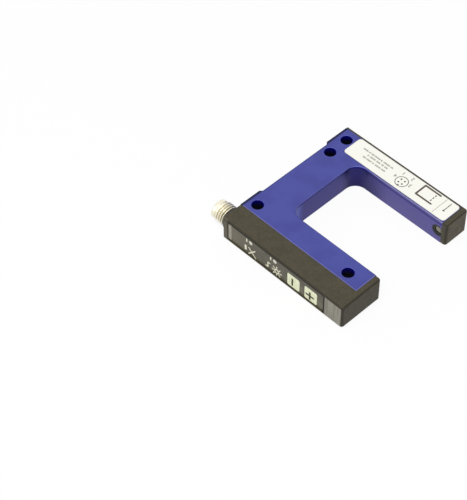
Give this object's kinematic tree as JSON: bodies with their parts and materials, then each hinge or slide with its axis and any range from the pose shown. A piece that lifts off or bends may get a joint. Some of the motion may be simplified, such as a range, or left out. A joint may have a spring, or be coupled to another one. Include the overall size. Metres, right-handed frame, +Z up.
{
  "type": "fork light barrier sensor",
  "caption": "Fork-shaped optical sensor: a flat metal U frame with plastic covers, a light barrier between its arms, two keys and a threaded round plug.",
  "frame": {"origin": "middle of the footprint on the flat base, half way between the arm tips and the plug's end, and half way across the two arms", "axes": "+X along the arms to their open tips, +Y from the control arm to the label arm, +Z up from the base"},
  "size_m": [0.0622, 0.0604, 0.0101],
  "materials": {
    "anodised_frame": "blue anodised, fine satin",
    "cover_plastic": "moulded, fine matte texture",
    "foil": "smooth satin membrane",
    "key_plastic": "satin",
    "switch_body": "moulded",
    "lamp": "clear resin",
    "light_pipe": "frosted end",
    "circuit_board": "solder mask",
    "chip": "moulded",
    "black_moulding": "moulded",
    "lens_glass": "clear",
    "diode_resin": "tinted clear resin",
    "cable_jacket": "smooth jacket",
    "nickel_plate": "bright nickel plated brass",
    "seal_rubber": "moulded",
    "gold_contact": "gold plated",
    "label_film": "printed polyester film"
  },
  "bodies": {
    "root": {"fork_frame": "anodised_frame", "control_cover": "cover_plastic", "label_arm_cover": "cover_plastic", "keypad_foil": "foil", "minus_switch": "switch_body", "plus_switch": "switch_body", "power_lamp": "lamp", "power_light_pipe": "light_pipe", "output_lamp": "lamp", "output_light_pipe": "light_pipe", "control_board": "circuit_board", "controller_chip": "chip", "board_header": "black_moulding", "emitter_holder": "black_moulding", "emitter_lens": "lens_glass", "emitter_diode": "diode_resin", "receiver_holder": "black_moulding", "receiver_lens": "lens_glass", "receiver_diode": "diode_resin", "receiver_board": "circuit_board", "link_cable": "cable_jacket", "plug_sleeve": "nickel_plate", "plug_seal": "seal_rubber", "plug_insert": "black_moulding", "plug_pins": "gold_contact", "type_label": "label_film"},
    "minus_key": {"minus_key": "key_plastic"},
    "plus_key": {"plus_key": "key_plastic"}
  },
  "joints": [
    {"name": "minus_key_press", "type": "slide", "parent": "root", "child": "minus_key", "axis": [0, 1, 0], "range_m": [0, 0.0003], "stiffness_N_per_m": 5000},
    {"name": "plus_key_press", "type": "slide", "parent": "root", "child": "plus_key", "axis": [0, 1, 0], "range_m": [0, 0.0003], "stiffness_N_per_m": 5000}
  ]
}
